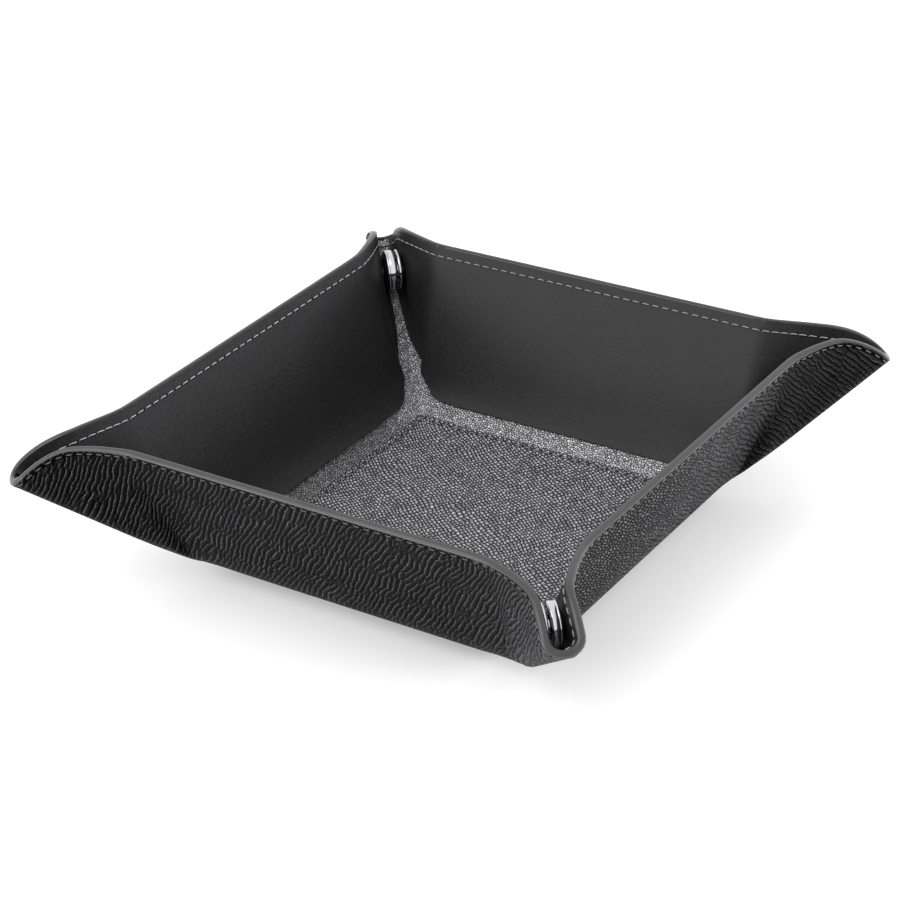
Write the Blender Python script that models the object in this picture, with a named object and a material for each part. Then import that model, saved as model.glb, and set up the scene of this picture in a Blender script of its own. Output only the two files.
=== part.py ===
"""Fold-flat leather valet tray with press studs at its four corners.

The tray is one square sheet of leather folded up on four base folds. At each
corner the spare leather is pinched out into two wings that face each other and
are held by a press stud. The sheet is laid out flat in (u, v), and
leather_points() maps a flat place and a lift above the outer face to its
place in the folded tray. Metres, +Z up, origin under the middle of the base.
"""

import math

import bmesh
import bpy
import numpy as np
from mathutils import Matrix, Vector

# Sheet and folds
HALF_BASE = 0.0510
WALL_SLANT = 0.0490
WALL_ANGLE = math.radians(66.6)
SHEET_CORNER = 0.0278
BASE_BEND = 0.0158
WING_BEND = 0.0045
BEND_EASE = 0.0100
RIDGE_GAP = 0.0042
RIDGE_GROW = 0.0220
PROBE = 0.0002

# Layers, from the outer face in
LEATHER_THICK = 0.0006
LINING_THICK = 0.0004
PANEL_THICK = 0.0006
PLY_GAP = 0.00025
MIDDLE_LIFT = 0.0010

# Running gaps where the sheet is split at its folds
FOLD_GAP = 0.0003
RIDGE_END_GAP = 0.0004
CORNER_RELIEF = 0.0090

# Smooth wall panels, base panel and seams
WALL_PANEL_RISE = 0.0030
BASE_PANEL_INSET = 0.0039
MITRE_LOW = 0.0050
MITRE_HIGH = 0.0028
WING_PANEL_START = 0.0170
SEAM_INSET = 0.0030
BASE_SEAM_INSET = 0.0020
THREAD = 0.0005

# Press studs
SNAP_ON_RIDGE_BEND = 0.0007
SNAP_FROM_CREASE = 0.00375
SNAP_RADIUS = 0.0060
SNAP_SEAT_RADIUS = 0.0038
SNAP_DISH = 0.0009
SNAP_EDGE_BEVEL = 0.0003
SNAP_SEAT_GAP = 0.00025
SOCKET_HEIGHT = 0.0036
SOCKET_BORE_RADIUS = 0.00275
SOCKET_BORE_DEPTH = 0.0024
STUD_DISC_HEIGHT = 0.0020
STUD_KNOB_HEIGHT = 0.0043
STUD_KNOB_RADIUS = 0.0019
STUD_NECK_RADIUS = 0.0016
STUD_TIP_RADIUS = 0.0015
RIVET_RADIUS = 0.0043
RIVET_POST_RADIUS = 0.0017
RIVET_CLEARANCE = 0.0004
CUTTER_OVERRUN = 0.0010

# Where the grid lines lie, as shares of what they cross
BASE_LINE_SHARES = (0.0, 0.69, 0.80, 0.87)
WALL_COLUMN_SHARES = (0.0, 0.80, 0.905, 0.955, 1.0)
WALL_BEND_SHARES = (0.38, 0.63, 1.0)
WING_ROW_SHARES = (0.42, 0.62, 0.82, 1.0)
WING_COLUMN_SHARES = (0.0, 0.13, 0.27, 0.76, 0.90, 1.0)
LIP_COLUMN_SHARES = (0.55, 1.0)

SNAP_SIDES = 20
RIVET_SIDES = 16
DISC_POINTS = 64
GOLDEN_ANGLE = math.pi * (3.0 - math.sqrt(5.0))

# Lifts of the layers above the outer face
LINING_LOW = LEATHER_THICK + PLY_GAP
LINING_TOP = LINING_LOW + LINING_THICK
PANEL_LOW = LINING_TOP + PLY_GAP
PANEL_TOP = PANEL_LOW + PANEL_THICK
THREAD_LOW = PANEL_TOP + PLY_GAP
THREAD_TOP = THREAD_LOW + THREAD

# Angles that follow from the walls' lean
EIGHTH_TURN = math.pi / 4.0
CREASE = math.atan(math.cos(WALL_ANGLE))
CREASE_RISE = math.atan(math.tan(WALL_ANGLE) / math.sqrt(2.0))
RIDGE_RISE = CREASE_RISE - (EIGHTH_TURN - CREASE)

# A press stud sits where the wing is wide enough for its rivet's flange,
# between the ridge's bend and the crease
RIDGE_BEND_RUN = 0.5 * math.pi * RIDGE_GAP
SNAP_ASIDE = RIDGE_BEND_RUN + RIVET_RADIUS - SNAP_ON_RIDGE_BEND
WING_NEED = SNAP_ASIDE + RIVET_RADIUS + SNAP_FROM_CREASE
SNAP_ALONG = WING_NEED / math.tan(EIGHTH_TURN - CREASE)

WALL_NAMES = ("right", "back", "left", "front")
# The corner at a wall's counterclockwise end
CORNER_NAMES = ("back_right", "back_left", "front_left", "front_right")


def clear_scene():
    for item in list(bpy.data.objects):
        bpy.data.objects.remove(item, do_unlink=True)


def smooth(value):
    value = np.clip(value, 0.0, 1.0)
    return value * value * (3.0 - 2.0 * value)


def sharp_points(u, v):
    """The sheet folded on sharp creases, as a bare surface."""
    swap = np.abs(u) < np.abs(v)
    high = np.maximum(np.abs(u), np.abs(v))
    low = np.minimum(np.abs(u), np.abs(v))
    past = high - HALF_BASE
    aside = low - HALF_BASE
    turned = np.arctan2(np.maximum(aside, 0.0), np.maximum(past, 0.0))
    on_wall = past > 0.0
    x = np.where(on_wall, HALF_BASE + past * math.cos(WALL_ANGLE), high)
    y = low
    z = np.where(on_wall, past * math.sin(WALL_ANGLE), 0.0)
    on_wing = (aside > 0.0) & (turned > CREASE)
    reach = np.hypot(past, aside)
    step = (CREASE_RISE - RIDGE_RISE) / (EIGHTH_TURN - CREASE)
    rise = RIDGE_RISE + (EIGHTH_TURN - turned) * step
    out = HALF_BASE + reach * np.cos(rise) / math.sqrt(2.0)
    x = np.where(on_wing, out, x)
    y = np.where(on_wing, out, y)
    z = np.where(on_wing, reach * np.sin(rise), z)
    across = np.where(swap, y, x) * np.where(u < 0.0, -1.0, 1.0)
    along = np.where(swap, x, y) * np.where(v < 0.0, -1.0, 1.0)
    return np.stack([across, along, z], axis=-1)


def middle_points(u, v):
    """The sheet's middle surface: folds eased round, ridges opened to a U."""
    past = np.abs(u) - HALF_BASE
    aside = np.abs(v) - HALF_BASE
    low = np.minimum(past, aside)
    high = np.maximum(past, aside)
    reach = np.hypot(past, aside)
    ease = smooth((low + BEND_EASE) / (2.0 * BEND_EASE))
    bend = BASE_BEND + (WING_BEND - BASE_BEND) * ease
    count = np.arange(DISC_POINTS)
    spread = np.sqrt((count + 0.5) / DISC_POINTS)
    disc_u = spread * np.cos(count * GOLDEN_ANGLE)
    disc_v = spread * np.sin(count * GOLDEN_ANGLE)
    near_u = u[..., None] + bend[..., None] * disc_u
    near_v = v[..., None] + bend[..., None] * disc_v
    points = sharp_points(near_u, near_v).mean(axis=-2)
    from_ridge = (high - low) / math.sqrt(2.0)
    opened = np.sin(0.5 * math.pi * np.clip(from_ridge / RIDGE_BEND_RUN, 0.0, 1.0))
    turned = np.arctan2(np.maximum(low, 0.0), np.maximum(high, PROBE))
    shift = RIDGE_GAP * smooth(reach / RIDGE_GROW) * opened * smooth(turned / CREASE)
    shift = np.where(low > 0.0, shift, 0.0) / math.sqrt(2.0)
    side = np.where(past > aside, 1.0, -1.0)
    points[..., 0] += np.sign(u) * side * shift
    points[..., 1] -= np.sign(v) * side * shift
    points[..., 2] += MIDDLE_LIFT
    return points


def leather_points(u, v, lift):
    """Places on the folded sheet, at a lift above its outer face."""
    along_u = middle_points(u + PROBE, v) - middle_points(u - PROBE, v)
    along_v = middle_points(u, v + PROBE) - middle_points(u, v - PROBE)
    normal = np.cross(along_u, along_v)
    normal /= np.linalg.norm(normal, axis=-1, keepdims=True)
    return middle_points(u, v) + (lift - MIDDLE_LIFT) * normal


def sheet_reach(turned):
    """How far the sheet runs from a base corner, at an angle off the slant."""
    straight = WALL_SLANT / np.cos(turned)
    inner = WALL_SLANT - SHEET_CORNER
    lean = inner * (np.cos(turned) + np.sin(turned))
    root = np.maximum(lean * lean - 2.0 * inner * inner + SHEET_CORNER ** 2, 0.0)
    rounded = lean + np.sqrt(root)
    return np.where(straight * np.sin(turned) > inner, rounded, straight)


def make_material(name, colour, roughness, metallic=0.0):
    material = bpy.data.materials.new(name)
    material.use_nodes = True
    shader = material.node_tree.nodes["Principled BSDF"]
    shader.inputs["Base Color"].default_value = (*colour, 1.0)
    shader.inputs["Roughness"].default_value = roughness
    shader.inputs["Metallic"].default_value = metallic
    material.diffuse_color = (*colour, 1.0)
    return material


def add_object(name, mesh, place, look):
    item = bpy.data.objects.new(name, mesh)
    item.matrix_world = place
    bpy.context.collection.objects.link(item)
    if not mesh.materials:
        mesh.materials.append(None)
    item.material_slots[0].link = "OBJECT"
    item.material_slots[0].material = make_material(name, *look)
    return item


def finish_mesh(shape, name):
    bmesh.ops.recalc_face_normals(shape, faces=shape.faces)
    bmesh.ops.triangulate(shape, faces=shape.faces)
    mesh = bpy.data.meshes.new(name)
    shape.to_mesh(mesh)
    shape.free()
    mesh.shade_smooth()
    mesh.set_sharp_from_angle(angle=math.radians(35.0))
    return mesh


def ply_mesh(name, u, v, low, high, origin, closed=False):
    """A closed ply over a grid of flat places, between two lifts."""
    rows, columns = u.shape
    shape = bmesh.new()
    layers = []
    for lift in (low, high):
        points = leather_points(u, v, lift) - np.array(origin)
        layers.append([[shape.verts.new(spot) for spot in line] for line in points])
    under, over = layers
    spans = rows if closed else rows - 1
    for i in range(spans):
        following = (i + 1) % rows
        for j in range(columns - 1):
            for layer in layers:
                a, b = layer[i][j], layer[following][j]
                c, d = layer[following][j + 1], layer[i][j + 1]
                shape.faces.new((a, b, c))
                shape.faces.new((a, c, d))
        for j in (0, columns - 1):
            shape.faces.new((under[i][j], under[following][j], over[following][j], over[i][j]))
    if not closed:
        for j in range(columns - 1):
            for i in (0, rows - 1):
                shape.faces.new((under[i][j], under[i][j + 1], over[i][j + 1], over[i][j]))
    return finish_mesh(shape, name)


def mirrored(shares):
    return np.array([-share for share in shares[:0:-1]] + list(shares))


def base_grid(edge, inner_edge):
    lines = HALF_BASE * np.array(BASE_LINE_SHARES)
    lines = np.append(lines, (inner_edge, edge) if edge > inner_edge else inner_edge)
    lines = mirrored(tuple(lines))
    return np.meshgrid(lines, lines, indexing="ij")


def wall_grid(first_rise, with_ends):
    """Flat places of the right wall, from a rise above the fold to the rim."""
    bends = [share * BASE_BEND for share in WALL_BEND_SHARES]
    rises = [WALL_PANEL_RISE] + bends + [WALL_SLANT]
    if first_rise < WALL_PANEL_RISE:
        rises.insert(0, first_rise)
    rises = np.array(rises)[:, None]
    half = HALF_BASE + rises * math.tan(CREASE) - 0.5 * FOLD_GAP / math.cos(CREASE)
    mitred = HALF_BASE + rises - MITRE_LOW * math.sqrt(2.0)
    covered = np.minimum(half - FOLD_GAP, np.maximum(mitred, HALF_BASE - BASE_PANEL_INSET))
    aside = mirrored(WALL_COLUMN_SHARES)[None, :] * covered
    if with_ends:
        aside = np.hstack([-half, aside, half])
    return HALF_BASE + rises + 0.0 * aside, aside


def mitre_width(reach):
    share = (reach - WING_PANEL_START) / (WALL_SLANT - WING_PANEL_START)
    return MITRE_LOW + (MITRE_HIGH - MITRE_LOW) * np.clip(share, 0.0, 1.0)


def wing_grid(end, with_lip, first_row):
    """Flat places of one wing of the right wall, as rows out from the corner."""
    columns = list(WING_COLUMN_SHARES)
    crease_reach = WALL_SLANT / math.cos(CREASE)
    start_share = (WING_PANEL_START - CORNER_RELIEF) / (crease_reach - CORNER_RELIEF)
    rows = [start_share] + list(WING_ROW_SHARES)
    if first_row:
        rows.insert(0, 0.0)
    u, v = [], []
    for row in rows:
        near = CORNER_RELIEF + (crease_reach - CORNER_RELIEF) * row
        first = CREASE + 0.5 * FOLD_GAP / near
        mitre = EIGHTH_TURN - math.asin(mitre_width(near) / near)
        last = EIGHTH_TURN - RIDGE_END_GAP / near
        mitre = max(mitre, first + 0.3 * (last - first))
        angles = [first + (mitre - first) * share for share in columns]
        if with_lip:
            angles += [mitre + (last - mitre) * share for share in LIP_COLUMN_SHARES]
        angles = np.array(angles)
        reach = CORNER_RELIEF + (sheet_reach(angles) - CORNER_RELIEF) * row
        u.append(HALF_BASE + reach * np.cos(angles))
        v.append(end * (HALF_BASE + reach * np.sin(angles)))
    return np.array(u), np.array(v)


def turned_mesh(name, profile, sides):
    """A solid turned about Z from (radius, height) places, axis to axis."""
    shape = bmesh.new()
    rings = []
    for radius, height in profile:
        if radius == 0.0:
            rings.append([shape.verts.new((0.0, 0.0, height))])
            continue
        ring = []
        for k in range(sides):
            angle = 2.0 * math.pi * k / sides
            ring.append(shape.verts.new((radius * math.cos(angle), radius * math.sin(angle), height)))
        rings.append(ring)
    for lower, upper in zip(rings, rings[1:]):
        for k in range(sides):
            after = (k + 1) % sides
            corners = [lower[k % len(lower)], lower[after % len(lower)]]
            corners += [upper[after % len(upper)], upper[k % len(upper)]]
            shape.faces.new(list(dict.fromkeys(corners)))
    return finish_mesh(shape, name)


def wing_normal(end):
    """Unit vector from the right wall's wing to the wing that it faces."""
    return Vector((-1.0, end, 0.0)).normalized()


def snap_flat(end):
    """The flat place of a press stud's axis on the right wall's wing."""
    turned = EIGHTH_TURN - math.atan2(SNAP_ASIDE, SNAP_ALONG)
    reach = math.hypot(SNAP_ASIDE, SNAP_ALONG)
    u = np.array([HALF_BASE + reach * math.cos(turned)])
    v = np.array([end * (HALF_BASE + reach * math.sin(turned))])
    return u, v


def snap_place(end, lift):
    """Where a press stud's axis crosses one layer of the right wall's wing."""
    spot = Vector(middle_points(*snap_flat(end))[0])
    return spot + (lift - MIDDLE_LIFT) * wing_normal(end)


def rivet_mesh(name, end, snap):
    """A rivet whose flange is pressed to the leather, in the stud's own axes."""
    angles = 2.0 * math.pi * np.arange(RIVET_SIDES) / RIVET_SIDES
    centre_u, centre_v = snap_flat(end)
    to_stud = snap.inverted()
    shape = bmesh.new()
    rings = []
    for radius, lift in ((RIVET_RADIUS, LINING_LOW), (RIVET_RADIUS, LINING_TOP),
                         (RIVET_POST_RADIUS, LINING_TOP)):
        u = centre_u + radius * np.cos(angles)
        v = centre_v + radius * np.sin(angles)
        rings.append([to_stud @ Vector(spot) for spot in leather_points(u, v, lift)])
    post = [Vector((spot.x, spot.y, 0.0)).normalized() * RIVET_POST_RADIUS for spot in rings[-1]]
    rings.append(post)
    bottom = to_stud @ Vector(leather_points(centre_u, centre_v, LINING_LOW)[0])
    rings = [[shape.verts.new(spot) for spot in ring] for ring in rings]
    foot, head = shape.verts.new(bottom), shape.verts.new((0.0, 0.0, 0.0))
    for k in range(RIVET_SIDES):
        after = (k + 1) % RIVET_SIDES
        shape.faces.new((foot, rings[0][k], rings[0][after]))
        shape.faces.new((head, rings[-1][k], rings[-1][after]))
        for lower, upper in zip(rings, rings[1:]):
            shape.faces.new((lower[k], lower[after], upper[after], upper[k]))
    return finish_mesh(shape, name)


def wing_hinge(end):
    """A point on the crease that one wing of the right wall turns on."""
    wall_inward = Vector((-math.sin(WALL_ANGLE), 0.0, math.cos(WALL_ANGLE)))
    along = Vector((0.0, 0.0, 1.0))
    system = np.array([wall_inward, wing_normal(end), along])
    aim = np.array([0.5 * RIDGE_GAP, -0.5 * RIDGE_GAP, 0.5 * WALL_SLANT])
    corner = Vector((HALF_BASE, end * HALF_BASE, MIDDLE_LIFT))
    return corner + Vector(np.linalg.solve(system, aim))


def quarter_turns(count):
    return Matrix.Rotation(0.5 * math.pi * count, 4, "Z")


GRAINED = ((0.030, 0.030, 0.032), 0.55)
LINED = ((0.075, 0.075, 0.080), 0.85)
SMOOTH_BLACK = ((0.018, 0.018, 0.019), 0.45)
THREAD_GREY = ((0.32, 0.32, 0.33), 0.70)
CHROME = ((0.80, 0.80, 0.82), 0.12, 1.0)
STEEL = ((0.55, 0.55, 0.57), 0.35, 1.0)

clear_scene()

# Base: outer leather, lining, stitched panel and its seam
middle = Matrix.Identity(4)
fold_edge = HALF_BASE - 0.5 * FOLD_GAP
panel_edge = HALF_BASE - BASE_PANEL_INSET
whole = base_grid(fold_edge, panel_edge)
inner = base_grid(panel_edge, panel_edge)
mesh = ply_mesh("outer_leather_base", *whole, 0.0, LEATHER_THICK, (0.0, 0.0, 0.0))
add_object("outer_leather_base", mesh, middle, GRAINED)
mesh = ply_mesh("lining_base", *whole, LINING_LOW, LINING_TOP, (0.0, 0.0, 0.0))
add_object("lining_base", mesh, middle, LINED)
mesh = ply_mesh("base_panel", *inner, PANEL_LOW, PANEL_TOP, (0.0, 0.0, 0.0))
add_object("base_panel", mesh, middle, GRAINED)

seam_line = panel_edge - BASE_SEAM_INSET
steps = mirrored(BASE_LINE_SHARES + (1.0,))
loop = [(1.0, step) for step in steps[:-1]] + [(-step, 1.0) for step in steps[:-1]]
loop += [(-1.0, -step) for step in steps[:-1]] + [(step, -1.0) for step in steps[:-1]]
loop = np.array(loop)
sizes = np.array([seam_line - 0.5 * THREAD, seam_line + 0.5 * THREAD])
seam_u = loop[:, :1] * sizes
seam_v = loop[:, 1:] * sizes
mesh = ply_mesh("base_panel_thread", seam_u, seam_v, THREAD_LOW, THREAD_TOP,
                (0.0, 0.0, 0.0), closed=True)
add_object("base_panel_thread", mesh, middle, THREAD_GREY)

# Walls: the same four plies on each side, turned about the middle
fold_point = Vector((HALF_BASE, 0.0, MIDDLE_LIFT))
wall = wall_grid(0.5 * FOLD_GAP, True)
panel = wall_grid(WALL_PANEL_RISE, False)
seam_rise = WALL_SLANT - SEAM_INSET
seam_rises = np.array([seam_rise - 0.5 * THREAD, seam_rise + 0.5 * THREAD])[:, None]
seam_half = HALF_BASE + seam_rises * math.tan(CREASE) - FOLD_GAP / math.cos(CREASE)
seam_v = mirrored(WALL_COLUMN_SHARES)[None, :] * seam_half
seam_u = HALF_BASE + seam_rises + 0.0 * seam_v
outer_wall = ply_mesh("outer_leather_wall", *wall, 0.0, LEATHER_THICK, fold_point)
lining_wall = ply_mesh("lining_wall", *wall, LINING_LOW, LINING_TOP, fold_point)
panel_wall = ply_mesh("wall_panel", *panel, PANEL_LOW, PANEL_TOP, fold_point)
thread_wall = ply_mesh("rim_thread", seam_u, seam_v, THREAD_LOW, THREAD_TOP, fold_point)
for turn, side in enumerate(WALL_NAMES):
    place = quarter_turns(turn) @ Matrix.Translation(fold_point)
    add_object("outer_leather_" + side + "_wall", outer_wall, place, GRAINED)
    add_object("lining_" + side + "_wall", lining_wall, place, LINED)
    add_object("wall_panel_" + side, panel_wall, place, SMOOTH_BLACK)
    add_object("rim_thread_" + side, thread_wall, place, THREAD_GREY)

# Press studs: turned about Z, seated on the smooth panel's face
dish = SNAP_SEAT_GAP + SNAP_DISH
socket_profile = (
    (0.0, SNAP_SEAT_GAP), (SNAP_SEAT_RADIUS, SNAP_SEAT_GAP), (SNAP_RADIUS, dish),
    (SNAP_RADIUS, SOCKET_HEIGHT - SNAP_EDGE_BEVEL),
    (SNAP_RADIUS - SNAP_EDGE_BEVEL, SOCKET_HEIGHT),
    (SOCKET_BORE_RADIUS, SOCKET_HEIGHT),
    (SOCKET_BORE_RADIUS, SOCKET_HEIGHT - SOCKET_BORE_DEPTH),
    (0.0, SOCKET_HEIGHT - SOCKET_BORE_DEPTH),
)
stud_profile = (
    (0.0, SNAP_SEAT_GAP), (SNAP_SEAT_RADIUS, SNAP_SEAT_GAP), (SNAP_RADIUS, dish),
    (SNAP_RADIUS, STUD_DISC_HEIGHT - SNAP_EDGE_BEVEL),
    (SNAP_RADIUS - SNAP_EDGE_BEVEL, STUD_DISC_HEIGHT),
    (STUD_NECK_RADIUS, STUD_DISC_HEIGHT),
    (STUD_KNOB_RADIUS, 0.5 * (STUD_DISC_HEIGHT + STUD_KNOB_HEIGHT)),
    (STUD_TIP_RADIUS, STUD_KNOB_HEIGHT), (0.0, STUD_KNOB_HEIGHT),
)
socket_mesh = turned_mesh("snap_socket", socket_profile, SNAP_SIDES)
stud_mesh = turned_mesh("snap_stud", stud_profile, SNAP_SIDES)


def hole_cutter(name, radius, low, high):
    """A guide that punches a round hole through one layer of a wing."""
    profile = ((0.0, low - PANEL_TOP - CUTTER_OVERRUN), (radius, low - PANEL_TOP - CUTTER_OVERRUN))
    profile += ((radius, high - PANEL_TOP + CUTTER_OVERRUN), (0.0, high - PANEL_TOP + CUTTER_OVERRUN))
    return turned_mesh(name, profile, RIVET_SIDES)


lining_cutter = hole_cutter("lining_punch", RIVET_RADIUS + RIVET_CLEARANCE, LINING_LOW, LINING_TOP)
panel_cutter = hole_cutter("panel_punch", RIVET_POST_RADIUS + RIVET_CLEARANCE, PANEL_LOW, PANEL_TOP)


def punch(item, cutter_mesh, place):
    cutter = bpy.data.objects.new(item.name + "_punch", cutter_mesh)
    cutter.matrix_world = place
    cutter.hide_render = True
    cutter.display_type = "WIRE"
    bpy.context.collection.objects.link(cutter)
    cut = item.modifiers.new("punched_hole", "BOOLEAN")
    cut.operation = "DIFFERENCE"
    cut.solver = "EXACT"
    cut.object = cutter


# Wings: two on each wall, each with its half of a press stud
for end in (1, -1):
    hinge = wing_hinge(end)
    hand = "ccw" if end > 0 else "cw"
    sheet = wing_grid(end, True, True)
    smooth_part = wing_grid(end, False, False)
    outer_wing = ply_mesh("outer_leather_wing_" + hand, *sheet, 0.0, LEATHER_THICK, hinge)
    lining_wing = ply_mesh("lining_wing_" + hand, *sheet, LINING_LOW, LINING_TOP, hinge)
    panel_wing = ply_mesh("wing_panel_" + hand, *smooth_part, PANEL_LOW, PANEL_TOP, hinge)
    facing = wing_normal(end).to_track_quat("Z", "X").to_matrix().to_4x4()
    snap = Matrix.Translation(snap_place(end, PANEL_TOP)) @ facing
    rivet = rivet_mesh("snap_rivet_" + hand, end, snap)
    for turn, side in enumerate(WALL_NAMES):
        corner = CORNER_NAMES[turn if end > 0 else turn - 1]
        to_side = corner.replace(side, "").strip("_")
        spun = quarter_turns(turn)
        place = spun @ Matrix.Translation(hinge)
        add_object("outer_leather_" + side + "_wall_" + to_side + "_wing", outer_wing, place, GRAINED)
        lining = add_object("lining_" + side + "_wall_" + to_side + "_wing", lining_wing, place, LINED)
        cover = add_object("wing_panel_" + side + "_wall_" + to_side, panel_wing, place, SMOOTH_BLACK)
        punch(lining, lining_cutter, spun @ snap)
        punch(cover, panel_cutter, spun @ snap)
        half = "socket" if side in ("left", "right") else "stud"
        shape = socket_mesh if half == "socket" else stud_mesh
        add_object("snap_" + half + "_" + corner, shape, spun @ snap, CHROME)
        add_object("snap_" + half + "_rivet_" + corner, rivet, spun @ snap, STEEL)
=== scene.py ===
"""The fold-flat leather valet tray, dressed over its CAD frame.

Every ply of the sheet is laid out flat in (u, v) metres and folded by the same
bends as the CAD, so each piece lies where its node lies. Walls are named from
above: right is +X, back is +Y, left is -X and front is -Y.
"""
import math

import bmesh
import bpy
import numpy as np
from mathutils import Matrix, Vector


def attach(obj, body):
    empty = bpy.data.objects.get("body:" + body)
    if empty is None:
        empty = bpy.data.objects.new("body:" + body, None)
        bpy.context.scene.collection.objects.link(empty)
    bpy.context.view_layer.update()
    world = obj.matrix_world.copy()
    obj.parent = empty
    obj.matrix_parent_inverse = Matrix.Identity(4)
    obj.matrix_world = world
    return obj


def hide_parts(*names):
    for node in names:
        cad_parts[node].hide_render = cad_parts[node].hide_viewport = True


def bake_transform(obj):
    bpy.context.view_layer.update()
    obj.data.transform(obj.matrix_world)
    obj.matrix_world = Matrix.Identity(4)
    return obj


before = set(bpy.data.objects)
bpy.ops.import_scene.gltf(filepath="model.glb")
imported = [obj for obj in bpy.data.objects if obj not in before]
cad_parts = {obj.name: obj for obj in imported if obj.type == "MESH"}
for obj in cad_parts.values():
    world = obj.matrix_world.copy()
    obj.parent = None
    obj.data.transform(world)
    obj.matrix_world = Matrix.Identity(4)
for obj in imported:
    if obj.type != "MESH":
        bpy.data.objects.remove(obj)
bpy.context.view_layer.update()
bpy.ops.object.select_all(action="DESELECT")

# Photographer's table: a plain white floor that keeps the tray's soft shadow.
# It is level with the tray's lowest leather and runs far past the picture.
TABLE_SIZE = 6.0
PAPER_TONE = (0.58, 0.58, 0.58, 1.0)
SEEN_PAPER_TONE = (0.76, 0.76, 0.76, 1.0)
SEEN_PAPER_GLOW = 0.30
WHITE = (1.0, 1.0, 1.0, 1.0)


def add_math(tree, operation, first, second=None, third=None):
    """One sum on values or sockets."""
    step = tree.nodes.new("ShaderNodeMath")
    step.operation = operation
    for slot_index, value in enumerate((first, second, third)):
        if value is None:
            continue
        if isinstance(value, (int, float)):
            step.inputs[slot_index].default_value = value
        else:
            tree.links.new(value, step.inputs[slot_index])
    return step.outputs[0]


def add_seen_rays(tree):
    """1 for rays that show the background: straight, mirrored or through glass."""
    path = tree.nodes.new("ShaderNodeLightPath")
    seen = path.outputs["Is Camera Ray"]
    for kind in ("Is Glossy Ray", "Is Transmission Ray"):
        seen = add_math(tree, "MAXIMUM", seen, path.outputs[kind])
    return seen


def show_seen(tree, lighting, seen, output):
    """Lights the tray with one shader and shows another one as the background."""
    either = tree.nodes.new("ShaderNodeMixShader")
    tree.links.new(add_seen_rays(tree), either.inputs[0])
    tree.links.new(lighting.outputs[0], either.inputs[1])
    tree.links.new(seen.outputs[0], either.inputs[2])
    tree.links.new(either.outputs[0], output.inputs["Surface"])


bpy.ops.mesh.primitive_plane_add(size=TABLE_SIZE, location=(0.0, 0.0, 0.0))
floor = bpy.context.object
floor.name = "table_top"
bpy.ops.object.transform_apply(location=True, rotation=True, scale=True)
white_paper = bpy.data.materials.new("white_paper")
white_paper.use_nodes = True
tree = white_paper.node_tree
tree.nodes.clear()
paper_matt = tree.nodes.new("ShaderNodeBsdfDiffuse")
paper_matt.inputs["Color"].default_value = PAPER_TONE
paper_seen = tree.nodes.new("ShaderNodeBsdfDiffuse")
paper_seen.inputs["Color"].default_value = SEEN_PAPER_TONE
paper_glow = tree.nodes.new("ShaderNodeEmission")
paper_glow.inputs["Color"].default_value = WHITE
paper_glow.inputs["Strength"].default_value = SEEN_PAPER_GLOW
paper_sum = tree.nodes.new("ShaderNodeAddShader")
tree.links.new(paper_seen.outputs[0], paper_sum.inputs[0])
tree.links.new(paper_glow.outputs[0], paper_sum.inputs[1])
paper_output = tree.nodes.new("ShaderNodeOutputMaterial")
show_seen(tree, paper_matt, paper_sum, paper_output)
floor.data.materials.append(white_paper)

# Studio light: a pale room, brightest above on the left, with soft boxes high in
# front, low in front for the back wall, and low behind for the outer walls' ends.
# The low one behind shows in no reflection, as it would glare on the left wall.
ROOM_BRIGHT_WAY = (-0.30, -0.15, 0.94)
ROOM_FADE_START, ROOM_FADE_END = -0.20, 0.95
ROOM_DIM, ROOM_BRIGHT = 0.05, 1.4
SOFT_BOXES = (
    ("high_front_soft_box", (-0.30, -0.66, 1.15), 0.9, 0.9, 5.0, True),
    ("low_front_soft_box", (-0.9, -1.5, 0.50), 1.2, 0.5, 9.0, True),
    ("low_back_soft_box", (1.15, 0.75, 0.18), 1.2, 0.20, 38.0, False),
)


def add_vector(tree, operation, source, other):
    """One sum on a place or a way, with what it gives as a vector or a value."""
    step = tree.nodes.new("ShaderNodeVectorMath")
    step.operation = operation
    step.inputs[1].default_value = other
    tree.links.new(source, step.inputs[0])
    return step.outputs


def add_range(tree, source, low, high, to_low=0.0, to_high=1.0, kind="SMOOTHSTEP"):
    """A value taken from one range to another."""
    span = tree.nodes.new("ShaderNodeMapRange")
    span.interpolation_type = kind
    span.inputs["From Min"].default_value = low
    span.inputs["From Max"].default_value = high
    span.inputs["To Min"].default_value = to_low
    span.inputs["To Max"].default_value = to_high
    tree.links.new(source, span.inputs["Value"])
    return span.outputs["Result"]


room = bpy.data.worlds.new("pale_room")
bpy.context.scene.world = room
room.use_nodes = True
tree = room.node_tree
room_way = tree.nodes.new("ShaderNodeTexCoord").outputs["Generated"]
room_side = add_vector(tree, "DOT_PRODUCT", room_way, ROOM_BRIGHT_WAY)["Value"]
brightness = add_range(tree, room_side, ROOM_FADE_START, ROOM_FADE_END, ROOM_DIM, ROOM_BRIGHT)
room_light = tree.nodes["Background"]
room_light.inputs["Color"].default_value = WHITE
tree.links.new(brightness, room_light.inputs["Strength"])
room_seen = tree.nodes.new("ShaderNodeBackground")
room_seen.inputs["Color"].default_value = WHITE
room_seen.inputs["Strength"].default_value = 1.0
show_seen(tree, room_light, room_seen, tree.nodes["World Output"])

for name, place, width, height, power, mirrored in SOFT_BOXES:
    lamp = bpy.data.lights.new(name, "AREA")
    lamp.shape = "RECTANGLE"
    lamp.size, lamp.size_y = width, height
    lamp.energy = power
    holder = bpy.data.objects.new(name, lamp)
    holder.location = place
    holder.rotation_euler = (-Vector(place)).to_track_quat("-Z", "Y").to_euler()
    holder.visible_glossy = mirrored
    bpy.context.collection.objects.link(holder)

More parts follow.
